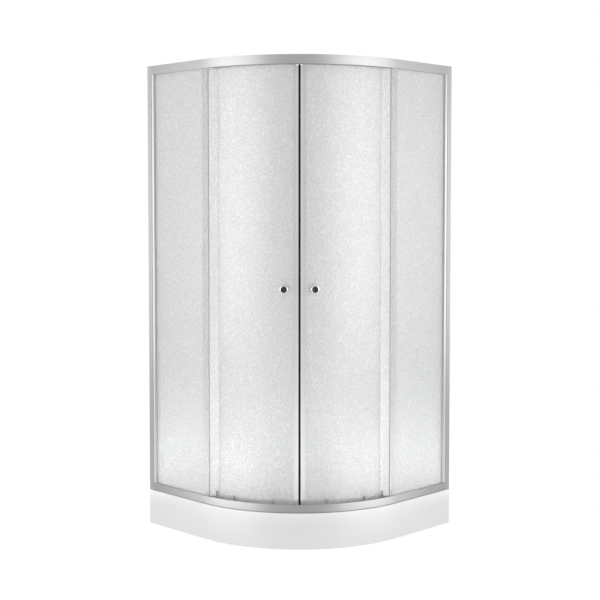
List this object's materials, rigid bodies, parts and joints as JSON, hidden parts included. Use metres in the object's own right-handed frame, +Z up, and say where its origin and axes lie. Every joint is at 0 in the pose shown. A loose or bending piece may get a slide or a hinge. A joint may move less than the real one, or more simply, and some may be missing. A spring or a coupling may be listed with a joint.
{
  "type": "shower cabin",
  "caption": "Quadrant corner shower enclosure with a shallow white tray, flat fixed panels and curved frosted sliding doors in satin aluminium rails.",
  "frame": {"origin": "middle of the 900 mm square that the cabin fills, on the floor", "axes": "+Z up; the room corner is at +X +Y, with room walls at x = +0.45 m and y = +0.45 m; the curved front faces -X -Y"},
  "size_m": [0.9, 0.9, 1.93],
  "materials": {
    "base_board": "pressed board",
    "block_rubber": "matte",
    "bolt_steel": "stainless",
    "bottom_rail_aluminium": "satin anodised",
    "bumper_rubber": "matte",
    "cap_chrome": "polished",
    "cap_plastic": "moulded grey",
    "carrier_plastic": "moulded grey",
    "clear_seal": "clear flexible extrusion",
    "door_glass": "frosted crinkle pattern",
    "drain_chrome": "polished",
    "drain_plastic": "moulded white",
    "drain_rubber": "matte",
    "fixed_glass": "frosted crinkle pattern",
    "gasket_rubber": "matte",
    "guide_plastic": "chromed plastic",
    "knob_chrome": "polished",
    "knob_washer": "translucent",
    "magnet_rubber": "matte black",
    "plug_plastic": "moulded",
    "post_aluminium": "bright anodised",
    "profile_aluminium": "satin anodised",
    "screw_steel": "stainless",
    "spring_steel": "stainless wire",
    "top_rail_aluminium": "satin anodised",
    "trap_plastic": "moulded",
    "tray_acrylic": "gloss white sanitary acrylic",
    "wheel_plastic": "moulded acetal",
    "zinc_feet": "zinc plated steel",
    "zinc_nuts": "zinc plated steel",
    "zinc_tube": "zinc plated steel tube"
  },
  "bodies": {
    "cabin": {"bottom_rail": "bottom_rail_aluminium", "door_bumpers": "bumper_rubber", "drain_flange": "drain_plastic", "drain_gasket": "drain_rubber", "drain_trap": "trap_plastic", "fixed_glass_left": "fixed_glass", "fixed_glass_right": "fixed_glass", "fixed_seals": "clear_seal", "foot_lock_nuts": "zinc_nuts", "frame_screws": "screw_steel", "glazing_gaskets": "gasket_rubber", "levelling_feet": "zinc_feet", "post_left": "post_aluminium", "post_plugs": "plug_plastic", "post_right": "post_aluminium", "profile_caps": "cap_plastic", "setting_blocks": "block_rubber", "top_rail": "top_rail_aluminium", "tray": "tray_acrylic", "tray_base_board": "base_board", "tray_frame": "zinc_tube", "wall_profile_left": "profile_aluminium", "wall_profile_right": "profile_aluminium"},
    "drain_cover_body": {"drain_cover": "drain_chrome"},
    "left_door": {"closing_seal_left": "clear_seal", "door_glass_left": "door_glass", "guide_housings_left": "guide_plastic", "knob_inner_left": "knob_chrome", "knob_outer_left": "knob_chrome", "knob_washers_left": "knob_washer", "magnet_strip_left": "magnet_rubber", "roller_bolts_left": "bolt_steel", "roller_caps_left": "cap_chrome", "trailing_seal_left": "clear_seal", "guide_spring_left_far": "spring_steel", "guide_spring_left_near": "spring_steel"},
    "right_door": {"closing_seal_right": "clear_seal", "door_glass_right": "door_glass", "guide_housings_right": "guide_plastic", "knob_inner_right": "knob_chrome", "knob_outer_right": "knob_chrome", "knob_washers_right": "knob_washer", "magnet_strip_right": "magnet_rubber", "roller_bolts_right": "bolt_steel", "roller_caps_right": "cap_chrome", "trailing_seal_right": "clear_seal", "guide_spring_right_far": "spring_steel", "guide_spring_right_near": "spring_steel"},
    "left_near_roller": {"roller_left_near": "wheel_plastic"},
    "left_near_guide": {"guide_carrier_left_near": "carrier_plastic"},
    "left_near_guide_wheel": {"guide_wheel_left_near": "wheel_plastic"},
    "left_far_roller": {"roller_left_far": "wheel_plastic"},
    "left_far_guide": {"guide_carrier_left_far": "carrier_plastic"},
    "left_far_guide_wheel": {"guide_wheel_left_far": "wheel_plastic"},
    "right_near_roller": {"roller_right_near": "wheel_plastic"},
    "right_near_guide": {"guide_carrier_right_near": "carrier_plastic"},
    "right_near_guide_wheel": {"guide_wheel_right_near": "wheel_plastic"},
    "right_far_roller": {"roller_right_far": "wheel_plastic"},
    "right_far_guide": {"guide_carrier_right_far": "carrier_plastic"},
    "right_far_guide_wheel": {"guide_wheel_right_far": "wheel_plastic"}
  },
  "joints": [
    {"name": "left_door_slide", "type": "hinge", "parent": "cabin", "child": "left_door", "pos_m": [0.2132, 0.1189, 1], "axis": [0, 0, -1], "range_deg": [0, 23.15]},
    {"name": "right_door_slide", "type": "hinge", "parent": "cabin", "child": "right_door", "pos_m": [0.1189, 0.2132, 1], "axis": [0, 0, 1], "range_deg": [0, 23.15]},
    {"name": "left_near_roller_spin", "type": "hinge", "parent": "left_door", "child": "left_near_roller", "pos_m": [-0.34713, -0.19148, 1.9063], "axis": [-0.8377, -0.5461, 0], "continuous": true},
    {"name": "left_near_guide_lift", "type": "slide", "parent": "left_door", "child": "left_near_guide", "axis": [0, 0, 1], "range_m": [0, 0.0055], "stiffness_N_per_m": 600, "springref_m": -0.006, "deforming": ["guide_spring_left_near"]},
    {"name": "left_near_guide_wheel_spin", "type": "hinge", "parent": "left_near_guide", "child": "left_near_guide_wheel", "pos_m": [-0.34713, -0.19148, 0.1553], "axis": [-0.8377, -0.5461, 0], "continuous": true},
    {"name": "left_far_roller_spin", "type": "hinge", "parent": "left_door", "child": "left_far_roller", "pos_m": [-0.41604, -0.03634, 1.9063], "axis": [-0.9668, -0.2554, 0], "continuous": true},
    {"name": "left_far_guide_lift", "type": "slide", "parent": "left_door", "child": "left_far_guide", "axis": [0, 0, 1], "range_m": [0, 0.0055], "stiffness_N_per_m": 600, "springref_m": -0.006, "deforming": ["guide_spring_left_far"]},
    {"name": "left_far_guide_wheel_spin", "type": "hinge", "parent": "left_far_guide", "child": "left_far_guide_wheel", "pos_m": [-0.41604, -0.03634, 0.1553], "axis": [-0.9668, -0.2554, 0], "continuous": true},
    {"name": "right_near_roller_spin", "type": "hinge", "parent": "right_door", "child": "right_near_roller", "pos_m": [-0.19148, -0.34713, 1.9063], "axis": [-0.5461, -0.8377, 0], "continuous": true},
    {"name": "right_near_guide_lift", "type": "slide", "parent": "right_door", "child": "right_near_guide", "axis": [0, 0, 1], "range_m": [0, 0.0055], "stiffness_N_per_m": 600, "springref_m": -0.006, "deforming": ["guide_spring_right_near"]},
    {"name": "right_near_guide_wheel_spin", "type": "hinge", "parent": "right_near_guide", "child": "right_near_guide_wheel", "pos_m": [-0.19148, -0.34713, 0.1553], "axis": [-0.5461, -0.8377, 0], "continuous": true},
    {"name": "right_far_roller_spin", "type": "hinge", "parent": "right_door", "child": "right_far_roller", "pos_m": [-0.03634, -0.41604, 1.9063], "axis": [-0.2554, -0.9668, 0], "continuous": true},
    {"name": "right_far_guide_lift", "type": "slide", "parent": "right_door", "child": "right_far_guide", "axis": [0, 0, 1], "range_m": [0, 0.0055], "stiffness_N_per_m": 600, "springref_m": -0.006, "deforming": ["guide_spring_right_far"]},
    {"name": "right_far_guide_wheel_spin", "type": "hinge", "parent": "right_far_guide", "child": "right_far_guide_wheel", "pos_m": [-0.03634, -0.41604, 0.1553], "axis": [-0.2554, -0.9668, 0], "continuous": true},
    {"name": "drain_cover_lift", "type": "slide", "parent": "cabin", "child": "drain_cover_body", "axis": [0, 0, 1], "range_m": [0, 0.04]}
  ],
  "couplings": [
    {"joint": "left_near_roller_spin", "follows": "left_door_slide", "ratio": 63.89},
    {"joint": "left_near_guide_wheel_spin", "follows": "left_door_slide", "ratio": 79.863},
    {"joint": "left_far_roller_spin", "follows": "left_door_slide", "ratio": 64.802},
    {"joint": "left_far_guide_wheel_spin", "follows": "left_door_slide", "ratio": 81.003},
    {"joint": "right_near_roller_spin", "follows": "right_door_slide", "ratio": -63.89},
    {"joint": "right_near_guide_wheel_spin", "follows": "right_door_slide", "ratio": -79.863},
    {"joint": "right_far_roller_spin", "follows": "right_door_slide", "ratio": -64.802},
    {"joint": "right_far_guide_wheel_spin", "follows": "right_door_slide", "ratio": -81.003}
  ]
}
